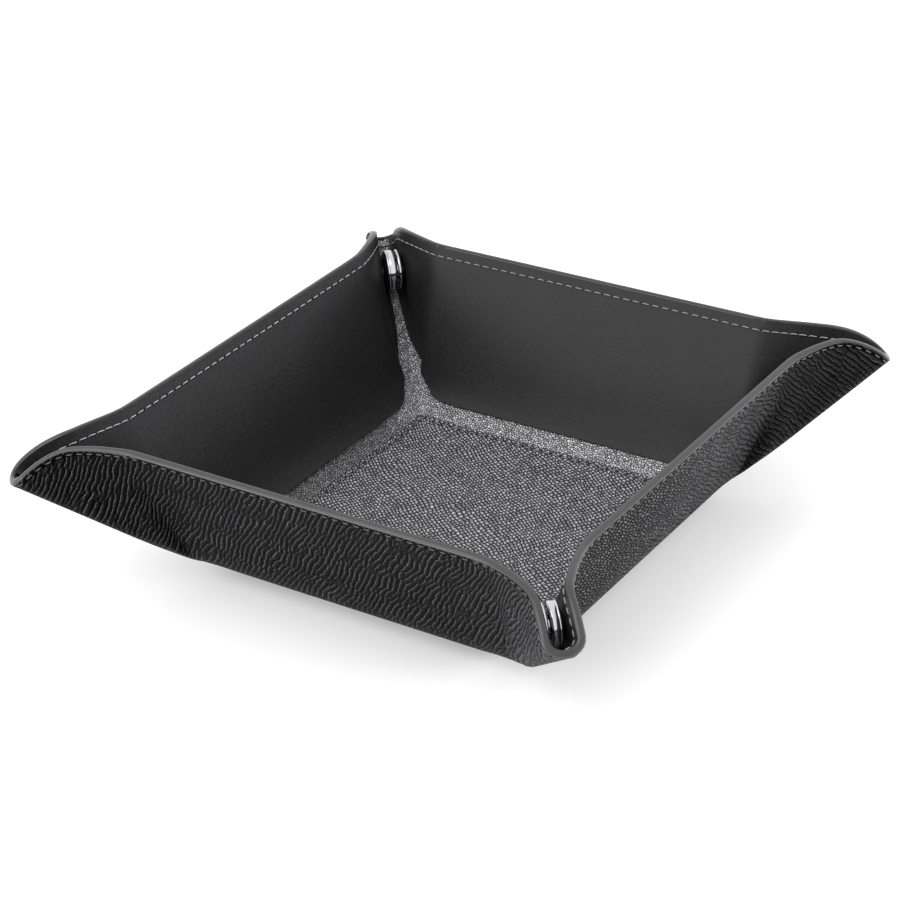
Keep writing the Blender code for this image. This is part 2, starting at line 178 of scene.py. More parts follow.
# Camera: the photographer's view over the front corner, a long lens with a
# slight roll.
CAMERA_SIDE = math.radians(35.164)
CAMERA_HEIGHT = math.radians(28.988)
CAMERA_ROLL = math.radians(-3.402)
CAMERA_REACH = 0.7357
CAMERA_AIM = (-0.0301, 0.0371, 0.0)
SENSOR_WIDTH = 36.0
LENS_LENGTH = 102.64

look = Vector((-math.sin(CAMERA_SIDE) * math.cos(CAMERA_HEIGHT),
               math.cos(CAMERA_SIDE) * math.cos(CAMERA_HEIGHT),
               -math.sin(CAMERA_HEIGHT)))
level = Vector((math.cos(CAMERA_SIDE), math.sin(CAMERA_SIDE), 0.0))
upward = level.cross(look)
across = math.cos(CAMERA_ROLL) * level + math.sin(CAMERA_ROLL) * upward
above = -math.sin(CAMERA_ROLL) * level + math.cos(CAMERA_ROLL) * upward
lens = bpy.data.cameras.new("picture_camera")
lens.sensor_width = SENSOR_WIDTH
lens.lens = LENS_LENGTH
lens.clip_start, lens.clip_end = 0.05, 20.0
camera = bpy.data.objects.new("picture_camera", lens)
stand = Matrix((across, above, -look)).transposed().to_4x4()
stand.translation = Vector(CAMERA_AIM) - CAMERA_REACH * look
camera.matrix_world = stand
bpy.context.collection.objects.link(camera)
bpy.context.scene.camera = camera
bpy.context.scene.view_settings.view_transform = "Standard"

# Outer leather: one square sheet of black grained cowhide about 200 mm across,
# folded up on four soft folds and pinched into two wings at each corner.
HALF_BASE = 0.0510
WALL_SLANT = 0.0490
WALL_ANGLE = math.radians(66.6)
SHEET_CORNER = 0.0278
BASE_BEND = 0.0158
RIDGE_BEND = 0.0065
CREASE_BEND = 0.0085
BEND_EASE = 0.0100
RIDGE_GAP = 0.0042
RIDGE_GROW = 0.0220
MIDDLE_LIFT = 0.0010
PROBE = 0.0002
DISC_POINTS = 64
GOLDEN_ANGLE = math.pi * (3.0 - math.sqrt(5.0))
EIGHTH_TURN = math.pi / 4.0
CREASE = math.atan(math.cos(WALL_ANGLE))
CREASE_RISE = math.atan(math.tan(WALL_ANGLE) / math.sqrt(2.0))
RIDGE_RISE = CREASE_RISE - (EIGHTH_TURN - CREASE)
CREASE_REACH = WALL_SLANT / math.cos(CREASE)
HALF_SHEET = HALF_BASE + WALL_SLANT

OUTER_TOP = 0.00085
LINING_TOP = 0.00130
PANEL_TOP = 0.00210
BASE_FIELD = 0.0460
WING_BLEND = 0.0045
BORDER_SETBACK = 0.0105
SETBACK_START = 0.006
SETBACK_RUN = 0.014
FOLD_ROWS_END = 0.018
FOLD_ROW_STEP = 0.0011
WING_START = 0.0002
FINE_ROWS_END = 0.020
WIDE_ROWS_START = 0.0215
WIDE_ROWS = 20
WALL_COLUMNS = 45
WING_COLUMNS = 34
CREASE_STEPS = 12
ARC_STEPS = 60
FIELD_LINES = 41
FINE_ROWS = 14
HIGH_ROWS = 16
SHARP_ANGLE = math.radians(50.0)
RIM_LAYOUT_SCALE = 100.0

WALL_SIDES = ("right", "back", "left", "front")
CORNER_NAMES = ("back_right", "back_left", "front_left", "front_right")


def ease(value):
    """A smooth step from 0 to 1."""
    value = np.clip(value, 0.0, 1.0)
    return value * value * (3.0 - 2.0 * value)


def sharp_sheet(u, v):
    """The sheet folded on sharp creases."""
    swap = np.abs(u) < np.abs(v)
    high = np.maximum(np.abs(u), np.abs(v))
    low = np.minimum(np.abs(u), np.abs(v))
    past = high - HALF_BASE
    aside = low - HALF_BASE
    turned = np.arctan2(np.maximum(aside, 0.0), np.maximum(past, 0.0))
    on_wall = past > 0.0
    x = np.where(on_wall, HALF_BASE + past * math.cos(WALL_ANGLE), high)
    y = low
    z = np.where(on_wall, past * math.sin(WALL_ANGLE), 0.0)
    on_wing = (aside > 0.0) & (turned > CREASE)
    reach = np.hypot(past, aside)
    step = (CREASE_RISE - RIDGE_RISE) / (EIGHTH_TURN - CREASE)
    rise = RIDGE_RISE + (EIGHTH_TURN - turned) * step
    out = HALF_BASE + reach * np.cos(rise) / math.sqrt(2.0)
    x = np.where(on_wing, out, x)
    y = np.where(on_wing, out, y)
    z = np.where(on_wing, reach * np.sin(rise), z)
    east = np.where(swap, y, x) * np.where(u < 0.0, -1.0, 1.0)
    north = np.where(swap, x, y) * np.where(v < 0.0, -1.0, 1.0)
    return np.stack([east, north, z], axis=-1)


def soft_sheet(u, v):
    """The same folds eased round, and the ridges opened to a U."""
    past = np.abs(u) - HALF_BASE
    aside = np.abs(v) - HALF_BASE
    low = np.minimum(past, aside)
    high = np.maximum(past, aside)
    reach = np.hypot(past, aside)
    turned = np.arctan2(np.maximum(low, 0.0), np.maximum(high, PROBE))
    past_crease = ease((turned - CREASE) / (EIGHTH_TURN - CREASE))
    wing_bend = CREASE_BEND + (RIDGE_BEND - CREASE_BEND) * past_crease
    at_corner = ease((low + BEND_EASE) / (2.0 * BEND_EASE))
    bend = BASE_BEND + (wing_bend - BASE_BEND) * at_corner
    points = np.zeros(u.shape + (3,))
    for count in range(DISC_POINTS):
        spread = math.sqrt((count + 0.5) / DISC_POINTS)
        near_u = u + bend * spread * math.cos(count * GOLDEN_ANGLE)
        near_v = v + bend * spread * math.sin(count * GOLDEN_ANGLE)
        points += sharp_sheet(near_u, near_v) / DISC_POINTS
    from_ridge = (high - low) / math.sqrt(2.0)
    quarter = 0.5 * math.pi * RIDGE_GAP
    opened = np.sin(0.5 * math.pi * np.clip(from_ridge / quarter, 0.0, 1.0))
    shift = RIDGE_GAP * ease(reach / RIDGE_GROW) * opened * ease(turned / CREASE)
    shift = np.where(low > 0.0, shift, 0.0) / math.sqrt(2.0)
    side = np.where(past > aside, 1.0, -1.0)
    points[..., 0] += np.sign(u) * side * shift
    points[..., 1] -= np.sign(v) * side * shift
    points[..., 2] += MIDDLE_LIFT
    return points


def fold(u, v):
    """Where flat places go, and the way their inner face points."""
    along_u = soft_sheet(u + PROBE, v) - soft_sheet(u - PROBE, v)
    along_v = soft_sheet(u, v + PROBE) - soft_sheet(u, v - PROBE)
    facing = np.cross(along_u, along_v)
    facing /= np.linalg.norm(facing, axis=-1, keepdims=True)
    return soft_sheet(u, v), facing


def sheet_reach(turned):
    """How far the sheet runs from a base corner, at an angle off the slant."""
    straight = WALL_SLANT / np.cos(turned)
    inner = WALL_SLANT - SHEET_CORNER
    lean = inner * (np.cos(turned) + np.sin(turned))
    root = np.maximum(lean * lean - 2.0 * inner * inner + SHEET_CORNER ** 2, 0.0)
    return np.where(straight * np.sin(turned) > inner, lean + np.sqrt(root), straight)


def rim_distance(u, v):
    """How far in from the sheet's rim a flat place lies."""
    past = np.abs(u) - HALF_BASE
    aside = np.abs(v) - HALF_BASE
    inner = WALL_SLANT - SHEET_CORNER
    rounded = SHEET_CORNER - np.hypot(past - inner, aside - inner)
    straight = WALL_SLANT - np.maximum(past, aside)
    return np.where((past > inner) & (aside > inner), rounded, straight)


def turn_flat(u, v, turn):
    """Flat places of the right wall moved to another wall, by quarter turns."""
    for _ in range(turn):
        u, v = -v, u
    return u, v


def blank_grid(name, rows, columns):
    """A flat grid of faces, ready for its points to be put in place."""
    bpy.ops.object.select_all(action="DESELECT")
    bpy.ops.mesh.primitive_grid_add(x_subdivisions=columns - 1, y_subdivisions=rows - 1, size=1.0)
    piece = bpy.context.object
    piece.name = name
    piece.data.name = name
    return piece


def ply_from_grid(name, u, v, low, high):
    """A grid of flat places folded into one ply with an outer and an inner face."""
    piece = blank_grid(name, *u.shape)
    solid = piece.modifiers.new("ply", "SOLIDIFY")
    solid.thickness = 0.01
    solid.offset = 1.0
    bpy.ops.object.modifier_apply(modifier=solid.name)
    middle, facing = fold(u, v)
    faces = []
    for level in (low, high):
        lift = np.broadcast_to(level, u.shape)[..., None] - MIDDLE_LIFT
        faces.append((middle + lift * facing).reshape(-1, 3))
    places = np.vstack(faces)
    mesh = piece.data
    mesh.vertices.foreach_set("co", places.astype(np.float32).ravel())
    corners = np.empty(len(mesh.loops), dtype=np.int64)
    mesh.loops.foreach_get("vertex_index", corners)
    while mesh.uv_layers:
        mesh.uv_layers.remove(mesh.uv_layers[0])
    flat = np.stack([u, v], axis=-1).reshape(-1, 2) / (2.0 * HALF_SHEET) + 0.5
    inside = rim_distance(u, v).reshape(-1) * RIM_LAYOUT_SCALE
    from_rim = np.stack([inside, np.zeros(u.size)], axis=-1)
    for layout_name, spots in (("Flat", flat), ("Rim", from_rim)):
        layout = mesh.uv_layers.new(name=layout_name)
        spots = np.vstack([spots, spots])[corners]
        layout.data.foreach_set("uv", spots.astype(np.float32).ravel())
    mesh.update()
    bpy.ops.object.mode_set(mode="EDIT")
    bpy.ops.mesh.select_all(action="SELECT")
    bpy.ops.mesh.normals_make_consistent(inside=False)
    bpy.ops.object.mode_set(mode="OBJECT")
    mesh.shade_smooth()
    mesh.set_sharp_from_angle(angle=SHARP_ANGLE)
    facings = np.vstack([-facing.reshape(-1, 3), facing.reshape(-1, 3)])
    faces_normals = np.empty(len(mesh.polygons) * 3)
    mesh.polygons.foreach_get("normal", faces_normals)
    faces_normals = faces_normals.reshape(-1, 3)
    corners = np.empty(len(mesh.loops), dtype=np.int64)
    mesh.loops.foreach_get("vertex_index", corners)
    totals = np.empty(len(mesh.polygons), dtype=np.int64)
    mesh.polygons.foreach_get("loop_total", totals)
    owner = np.repeat(np.arange(len(totals)), totals)
    upper = corners >= u.size
    all_up = np.bincount(owner, upper) == totals
    all_down = np.bincount(owner, ~upper) == totals
    face_side = (all_up | all_down)[owner]
    normals = np.where(face_side[:, None], facings[corners], faces_normals[owner])
    mesh.normals_split_custom_set(normals.astype(np.float32).tolist())
    return piece


def border_half(rise):
    """Half width of a wall's own piece, which stops short of its creases."""
    setback = BORDER_SETBACK * ease((rise - SETBACK_START) / SETBACK_RUN)
    on_wall = HALF_BASE + rise * math.tan(CREASE) - setback / math.cos(CREASE)
    return np.where(rise < 0.0, HALF_BASE + rise, on_wall)


def wall_rows(first, last):
    """Rises up the slant: close together round the fold, wider above it."""
    rises = np.concatenate([np.arange(first, FOLD_ROWS_END, FOLD_ROW_STEP),
                            np.linspace(FOLD_ROWS_END, last, HIGH_ROWS)])
    return np.unique(np.round(rises, 7))


def wall_places(first, last, limit=None):
    """Flat places of a wall's own piece, between two rises up its slant."""
    rises = wall_rows(first, last)[:, None]
    half = border_half(rises)
    if limit is not None:
        half = np.minimum(half, limit(rises))
    even = np.linspace(-1.0, 1.0, WALL_COLUMNS)[None, :]
    shares = 0.5 * np.sin(0.5 * math.pi * even) + 0.5 * even
    aside = shares * half
    return HALF_BASE + rises + 0.0 * aside, aside


def wing_places(end, rows, columns, last_angle):
    """Flat places from a wall's border round its crease to an angle on the wing."""
    u, v = [], []
    for near in rows:
        rise = near * math.cos(CREASE)
        border = float(border_half(np.array(rise)))
        crease_aside = HALF_BASE + rise * math.tan(CREASE)
        stop = last_angle(near)
        if stop <= CREASE:
            ends = HALF_BASE + rise * math.tan(stop)
            aside = np.linspace(border, ends, columns)
            u.append(np.full(columns, HALF_BASE + rise))
            v.append(end * aside)
            continue
        angles = np.linspace(CREASE, stop, ARC_STEPS)
        reach = near / CREASE_REACH * sheet_reach(angles)
        arc_u = HALF_BASE + (reach * np.cos(angles))[1:]
        arc_v = HALF_BASE + (reach * np.sin(angles))[1:]
        path_u = np.concatenate([np.full(CREASE_STEPS, HALF_BASE + rise), arc_u])
        path_v = np.concatenate([np.linspace(border, crease_aside, CREASE_STEPS), arc_v])
        step = np.hypot(np.diff(path_u), np.diff(path_v))
        run = np.concatenate([[0.0], np.cumsum(step)])
        spots = np.linspace(0.0, run[-1], columns)
        u.append(np.interp(spots, run, path_u))
        v.append(end * np.interp(spots, run, path_v))
    return np.array(u), np.array(v)


def ride_wall(piece):
    """Bakes a piece's placement into its mesh; nothing is bent."""
    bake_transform(piece)


def wing_body(turn, end):
    """The name of the wing at one end of a wall."""
    corner = CORNER_NAMES[turn if end > 0 else turn - 1]
    side = WALL_SIDES[turn]
    return side + "_wall_" + corner.replace(side, "").strip("_") + "_wing"


def corner_way(rise):
    """The way out over a corner of the base, at an angle above level."""
    level = math.cos(rise) / math.sqrt(2.0)
    return Vector((level, level, math.sin(rise)))


def ride_wing(piece, end):
    """Bakes a piece's placement into its mesh; the places either side of its wing's crease are
    worked out but not used.
    """
    crease = corner_way(CREASE_RISE)
    wall_way = Vector((0.0, 1.0, 0.0)) - crease * crease.y
    ridge = corner_way(RIDGE_RISE)
    wing_way = ridge - crease * crease.dot(ridge)
    way = (wall_way.normalized() + wing_way.normalized()).normalized()
    half_turn = 0.5 * wall_way.angle(wing_way)
    spot = Vector((HALF_BASE, HALF_BASE, MIDDLE_LIFT))
    spread = WING_BLEND * math.cos(half_turn)
    for step in (-spread, spread):
        place = spot + step * way
        place.y *= end
    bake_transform(piece)


def to_ridge(near):
    """The sheets run on to the ridge at every distance out."""
    return EIGHTH_TURN


def wing_distances(first, count):
    """Distances out along a wing: close together near the base, wider beyond."""
    return np.concatenate([np.linspace(first, FINE_ROWS_END, count),
                           np.linspace(WIDE_ROWS_START, CREASE_REACH, WIDE_ROWS)])


wing_rows = wing_distances(WING_START, FINE_ROWS)
field_lines = np.linspace(-BASE_FIELD, BASE_FIELD, FIELD_LINES)
sheet_field = np.meshgrid(field_lines, field_lines, indexing="ij")
sheet_wall = wall_places(BASE_FIELD - HALF_BASE, WALL_SLANT)


def lay_sheet(prefix, low, high, finish):
    """One whole sheet as a base field, four walls and eight wings."""
    piece = ply_from_grid(prefix + "_base_field", *sheet_field, low, high)
    piece.data.materials.append(finish)
    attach(piece, "base")
    made = [(piece, "base")]
    for turn, side in enumerate(WALL_SIDES):
        places = turn_flat(*sheet_wall, turn)
        piece = ply_from_grid(prefix + "_" + side + "_wall_sheet", *places, low, high)
        piece.data.materials.append(finish)
        ride_wall(piece)
        made.append((piece, side + "_wall"))
        for end in (1, -1):
            body = wing_body(turn, end)
            places = wing_places(end, wing_rows, WING_COLUMNS, to_ridge)
            places = turn_flat(*places, turn)
            piece = ply_from_grid(prefix + "_" + body + "_sheet", *places, low, high)
            piece.data.materials.append(finish)
            ride_wing(piece, end)
            made.append((piece, body))
    return made


def start_look(name, colour, roughness, specular=0.5):
    """A principled finish with its node tree, ready for its grain."""
    finish = bpy.data.materials.new(name)
    finish.use_nodes = True
    shader = finish.node_tree.nodes["Principled BSDF"]
    shader.inputs["Base Color"].default_value = (*colour, 1.0)
    shader.inputs["Roughness"].default_value = roughness
    shader.inputs["Specular IOR Level"].default_value = specular
    return finish, finish.node_tree, shader


def flat_millimetres(tree):
    """The sheet's own flat layout, in millimetres."""
    layout = tree.nodes.new("ShaderNodeUVMap")
    layout.uv_map = "Flat"
    scale = tree.nodes.new("ShaderNodeVectorMath")
    scale.operation = "SCALE"
    scale.inputs["Scale"].default_value = 2000.0 * HALF_SHEET
    tree.links.new(layout.outputs["UV"], scale.inputs[0])
    return scale.outputs[0]


def rim_millimetres(tree):
    """Distance in from the rim, in millimetres."""
    layout = tree.nodes.new("ShaderNodeUVMap")
    layout.uv_map = "Rim"
    inside = split_places(tree, layout.outputs["UV"])[0]
    return add_math(tree, "MULTIPLY", inside, 1000.0 / RIM_LAYOUT_SCALE)


def add_noise(tree, source, scale, detail, roughness=0.5):
    """A soft cloud from 0 to 1."""
    cloud = tree.nodes.new("ShaderNodeTexNoise")
    cloud.inputs["Scale"].default_value = scale
    cloud.inputs["Detail"].default_value = detail
    cloud.inputs["Roughness"].default_value = roughness
    tree.links.new(source, cloud.inputs["Vector"])
    return cloud.outputs["Fac"]


def add_mix(tree, share, first, second):
    """A blend of two values, or of two colours."""
    blend = tree.nodes.new("ShaderNodeMix")
    coloured = isinstance(first, tuple)
    blend.data_type = "RGBA" if coloured else "FLOAT"
    ports = [port for port in blend.inputs if port.enabled]
    if isinstance(share, (int, float)):
        ports[0].default_value = share
    else:
        tree.links.new(share, ports[0])
    for port, value in zip(ports[1:], (first, second)):
        if coloured:
            port.default_value = (*value, 1.0)
        elif isinstance(value, (int, float)):
            port.default_value = value
        else:
            tree.links.new(value, port)
    return [port for port in blend.outputs if port.enabled][0]


def add_relief(tree, shader, height, depth, strength=1.0):
    """Fine relief, its depth in metres, for the light to catch."""
    relief = tree.nodes.new("ShaderNodeBump")
    relief.inputs["Strength"].default_value = strength
    relief.inputs["Distance"].default_value = depth
    tree.links.new(height, relief.inputs["Height"])
    tree.links.new(relief.outputs["Normal"], shader.inputs["Normal"])


def add_gloss(tree, shader, share, low, high):
    """Roughness that varies a little over the surface."""
    tree.links.new(add_mix(tree, share, low, high), shader.inputs["Roughness"])


def add_tone(tree, shader, share, dark, light):
    """A colour between a dark and a light one."""
    tree.links.new(add_mix(tree, share, dark, light), shader.inputs["Base Color"])


def add_cool_grey(tree, shader, grey, blue):
    """A grey with its blue raised a little."""
    tone = tree.nodes.new("ShaderNodeCombineColor")
    grey_blue = add_math(tree, "MULTIPLY", grey, blue)
    for port, source in zip(tone.inputs[:3], (grey, grey, grey_blue)):
        tree.links.new(source, port)
    tree.links.new(tone.outputs[0], shader.inputs["Base Color"])


def add_groove_shade(tree, tone, distance, middle, core, edge, left=0.0):
    """A tone darkened to a small share of itself in the groove along a seam: painted shade in the
    groove.
    """
    off = add_math(tree, "SUBTRACT", distance, middle)
    off = add_math(tree, "ABSOLUTE", off)
    share = add_range(tree, off, core, edge, left, 1.0)
    return add_math(tree, "MULTIPLY", tone, share)


def split_places(tree, source):
    """The first two axes of a layout."""
    parts = tree.nodes.new("ShaderNodeSeparateXYZ")
    tree.links.new(source, parts.inputs[0])
    return parts.outputs[0], parts.outputs[1]


def turned_places(tree, source, degrees):
    """The flat layout turned, so that a grain runs along its second axis."""
    turn = tree.nodes.new("ShaderNodeMapping")
    turn.inputs["Rotation"].default_value = (0.0, 0.0, math.radians(degrees))
    tree.links.new(source, turn.inputs["Vector"])
    return split_places(tree, turn.outputs[0])


def swayed(tree, source, over, scale, amount, detail=2.0):
    """A coordinate shifted to and fro by a cloud, so that a grain wanders."""
    cloud = add_noise(tree, source, scale, detail, 0.5)
    shift = add_math(tree, "SUBTRACT", cloud, 0.5)
    return add_math(tree, "MULTIPLY_ADD", shift, amount, over)


def grain_cells(tree, over, down, pitch, length, randomness):
    """Pads of grain: the distance in from their grooves and a number for each."""
    place = tree.nodes.new("ShaderNodeCombineXYZ")
    tree.links.new(add_math(tree, "DIVIDE", over, pitch), place.inputs[0])
    tree.links.new(add_math(tree, "DIVIDE", down, length), place.inputs[1])
    found = []
    for feature, port in (("DISTANCE_TO_EDGE", "Distance"), ("F1", "Color")):
        cells = tree.nodes.new("ShaderNodeTexVoronoi")
        cells.voronoi_dimensions = "2D"
        cells.feature = feature
        cells.inputs["Scale"].default_value = 1.0
        cells.inputs["Randomness"].default_value = randomness
        tree.links.new(place.outputs[0], cells.inputs["Vector"])
        found.append(cells.outputs[port])
    return found[0], split_places(tree, found[1])[0]


def furrows(tree, over, pitch):
    """A wave across a grain, -1 in the furrow and 1 on the ridge, and its slope."""
    turns = add_math(tree, "MULTIPLY", over, 2.0 * math.pi / pitch)
    return add_math(tree, "SINE", turns), add_math(tree, "COSINE", turns)


def forked_ridges(tree, source, degrees, pitch, wander, wiggle):
    """Long wandering ridges that fork and join, with their slope and directions."""
    over, down = turned_places(tree, source, degrees)
    wide = swayed(tree, source, over, 0.045, wander)
    one = furrows(tree, swayed(tree, source, wide, 0.38, wiggle, 1.0), pitch)
    skewed = add_math(tree, "MULTIPLY_ADD", down, 0.09, wide)
    two = furrows(tree, swayed(tree, source, skewed, 0.30, wiggle * 1.3, 1.0), pitch * 0.93)
    share = add_range(tree, add_noise(tree, source, 0.20, 1.0), 0.44, 0.56)
    ridge = add_mix(tree, share, one[0], two[0])
    slope = add_mix(tree, share, one[1], two[1])
    return ridge, slope, wide, down


grained_leather, tree, shader = start_look(
    "black_grained_leather", (0.020, 0.020, 0.021), 0.45, 0.02)
flat_mm = flat_millimetres(tree)
ridges, slope, over, down = forked_ridges(tree, flat_mm, degrees=-32.0, pitch=1.45,
                                          wander=5.0, wiggle=0.9)
# Painted light: paler round one corner, where the right wall has flecks in place of ridges.
flattened = add_vector(tree, "MULTIPLY", flat_mm, (1.0, 0.5, 1.0))["Vector"]
near_corner = add_vector(tree, "DISTANCE", flattened, (186.0, 26.0, 0.0))["Value"]
fleck_area_and_painted_light = add_range(tree, near_corner, 14.0, 56.0, 1.0, 0.0)
fleck_over = swayed(tree, flat_mm, over, 0.5, 0.5, 1.0)
flat_u, flat_v = split_places(tree, flat_mm)
past_ridge = add_math(tree, "ADD", flat_u, flat_v)
flecked = add_math(tree, "MULTIPLY", fleck_area_and_painted_light, add_range(tree, past_ridge, 197.0, 205.0))
edge, odd = grain_cells(tree, fleck_over, down, pitch=0.90, length=3.4, randomness=0.65)
pads = add_mix(tree, flecked, add_range(tree, ridges, -0.85, 0.05),
               add_range(tree, edge, 0.12, 0.40))
tube = add_mix(tree, flecked, add_range(tree, ridges, -1.0, 1.0),
               add_range(tree, edge, 0.0, 0.40))
notch_down = swayed(tree, flat_mm, down, 0.5, 1.4, 1.0)
notches = add_range(tree, furrows(tree, notch_down, 1.10)[0], -1.0, 0.3)
patches = add_range(tree, add_noise(tree, flat_mm, 0.16, 2.0), 0.42, 0.62)
beads = add_mix(tree, patches, 1.0, add_mix(tree, notches, 0.40, 1.0))
pores = add_noise(tree, flat_mm, 3.0, 2.0, 0.6)
height = add_math(tree, "MULTIPLY", tube, beads)
height = add_math(tree, "MULTIPLY_ADD", pores, 0.12, height)
add_relief(tree, shader, height, 0.00050)
mottle = add_math(tree, "MULTIPLY", pads, add_range(tree, pores, 0.25, 0.70, 0.55, 1.0))
mottle = add_math(tree, "MULTIPLY", mottle, beads)
# Painted shade in the groove of the outside seam, just under the rim.
mottle = add_groove_shade(tree, mottle, rim_millimetres(tree), 0.95, 0.40, 0.65)
# Painted highlight: the flank on one side of each ridge, picked by its slope, is painted lighter;
# in the flecked corner, light flecks take its place.
painted_highlight_and_flecks = add_math(tree, "MULTIPLY", add_range(tree, slope, 0.50, 0.95),
                 add_range(tree, ridges, -0.70, -0.15))
painted_highlight_and_flecks = add_math(tree, "MULTIPLY", painted_highlight_and_flecks, add_range(tree, pores, 0.35, 0.60))
painted_highlight_and_flecks = add_mix(tree, flecked, painted_highlight_and_flecks, add_math(tree, "MULTIPLY", odd, 0.6))
top_tone = add_math(tree, "MULTIPLY_ADD", painted_highlight_and_flecks, 0.19, 0.020)
# Painted light: the pale tone added round that corner.
top_tone = add_math(tree, "MULTIPLY_ADD", fleck_area_and_painted_light, 0.068, top_tone)
grey = add_math(tree, "MULTIPLY_ADD", mottle, top_tone, 0.0012)
add_cool_grey(tree, shader, grey, 1.05)
add_gloss(tree, shader, pores, 0.38, 0.56)

for piece, part in lay_sheet("outer", 0.0, OUTER_TOP, grained_leather):
    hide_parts("outer_leather_" + part)

# Lining: a thinner sheet of fine-grained dark grey leather of the same outline,
# glued inside the outer leather. It shows along the folds and the corners.
fine_lining, tree, shader = start_look("grey_fine_lining", (0.16, 0.16, 0.17), 0.50, 0.40)
flat_mm = flat_millimetres(tree)
flat_u, flat_v = split_places(tree, flat_mm)
over = swayed(tree, flat_mm, flat_u, 0.9, 0.5)
edge, odd = grain_cells(tree, over, flat_v, pitch=0.74, length=0.86, randomness=0.95)
pads = add_range(tree, edge, 0.02, 0.26)
pores = add_noise(tree, flat_mm, 2.2, 3.0, 0.6)
add_relief(tree, shader, add_math(tree, "MULTIPLY_ADD", pores, 0.6, pads), 0.00022)
mottle = add_math(tree, "MULTIPLY", pads, add_range(tree, odd, 0.0, 1.0, 0.35, 1.0, "LINEAR"))
# Painted shade in the groove of the rim's seam.
mottle = add_groove_shade(tree, mottle, rim_millimetres(tree), 3.0, 0.12, 0.34)
# Painted shade: a little darker along the left fold.
clear_of_painted_shade = add_math(tree, "MAXIMUM", add_range(tree, flat_u, 50.0, 58.0),
                  add_range(tree, flat_v, 128.0, 148.0))
mottle = add_math(tree, "MULTIPLY", mottle, add_mix(tree, clear_of_painted_shade, 0.40, 1.0))
add_tone(tree, shader, mottle, (0.008, 0.008, 0.009), (0.85, 0.85, 0.88))

for piece, part in lay_sheet("inner", OUTER_TOP, LINING_TOP, fine_lining):
    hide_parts("lining_" + part)

# Base panel: a square of grained leather with rounded corners, glued on the lining and sewn down
# all round. Its pale grey pads are partly its own grain and partly painted sheen.
BASE_PANEL_HALF = 0.0471
BASE_PANEL_CORNER = 0.0030
SKIVE_WIDTH = 0.0007
SKIVE_DEPTH = 0.00035
SKIVE_ROWS = (0.0004, 0.00015, 0.0)
BASE_PANEL_LINES = 61

inner = BASE_PANEL_HALF - SKIVE_WIDTH
edge_rows = [BASE_PANEL_HALF - row for row in SKIVE_ROWS]
field_rows = list(np.linspace(-inner, inner, BASE_PANEL_LINES))
lines = np.array([-row for row in edge_rows[::-1]] + field_rows + edge_rows)
panel_u, panel_v = np.meshgrid(lines, lines, indexing="ij")
corner_start = BASE_PANEL_HALF - BASE_PANEL_CORNER
bite = np.clip((np.abs(panel_u) - corner_start) / BASE_PANEL_CORNER, 0.0, 1.0)
width = BASE_PANEL_HALF - BASE_PANEL_CORNER * (1.0 - np.sqrt(1.0 - bite * bite))
panel_v = panel_v / BASE_PANEL_HALF * width
in_from_edge = np.minimum(BASE_PANEL_HALF - np.abs(panel_u), width - np.abs(panel_v))
skived = SKIVE_DEPTH * np.clip(1.0 - in_from_edge / SKIVE_WIDTH, 0.0, 1.0) ** 2

base_panel_grain_and_sheen, tree, shader = start_look(
    "grained_base_panel_painted_sheen", (0.14, 0.14, 0.145), 0.42, 0.40)
flat_mm = flat_millimetres(tree)
over, down = turned_places(tree, flat_mm, 123.0)
over = swayed(tree, flat_mm, over, 0.050, 5.0)
over = swayed(tree, flat_mm, over, 0.40, 0.55, 1.0)
down = swayed(tree, flat_mm, down, 0.12, 2.2)
edge, odd = grain_cells(tree, over, down, pitch=1.02, length=1.40, randomness=0.50)
pads = add_range(tree, edge, 0.05, 0.26)
rows_of_grain = add_range(tree, furrows(tree, over, 1.02)[0], -1.0, 0.2)
pores = add_noise(tree, flat_mm, 2.6, 2.0, 0.6)
lattice = add_math(tree, "MULTIPLY", pads, add_mix(tree, 0.45, 1.0, rows_of_grain))
add_relief(tree, shader, add_math(tree, "MULTIPLY_ADD", pores, 0.20, lattice), 0.00032)
mottle = add_range(tree, odd, 0.0, 1.0, 0.45, 1.0, "LINEAR")
mottle = add_math(tree, "MULTIPLY", lattice, mottle)
# The seam's groove darkened as painted shade, and the panel darker along its skived edge, by
# distance from the panel's middle.
middle_mm = (1000.0 * HALF_SHEET, 1000.0 * HALF_SHEET, 0.0)
out_u, out_v = split_places(tree, add_vector(tree, "SUBTRACT", flat_mm, middle_mm)["Vector"])
square = add_math(tree, "MAXIMUM", add_math(tree, "ABSOLUTE", out_u),
                  add_math(tree, "ABSOLUTE", out_v))
mottle = add_groove_shade(tree, mottle, square, 45.1, 0.35, 0.70, 0.08)
mottle = add_math(tree, "MULTIPLY", mottle, add_range(tree, square, 46.4, 46.9, 1.0, 0.05))
mottle = add_math(tree, "MULTIPLY", mottle, add_range(tree, pores, 0.25, 0.70, 0.7, 1.0))
# Pale grey pads: partly painted sheen.
add_tone(tree, shader, mottle, (0.003, 0.003, 0.004), (0.62, 0.62, 0.65))

base_panel = ply_from_grid("base_panel_leather", panel_u, panel_v, LINING_TOP, PANEL_TOP - skived)
base_panel.data.materials.append(base_panel_grain_and_sheen)
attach(base_panel, "base")
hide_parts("base_panel")

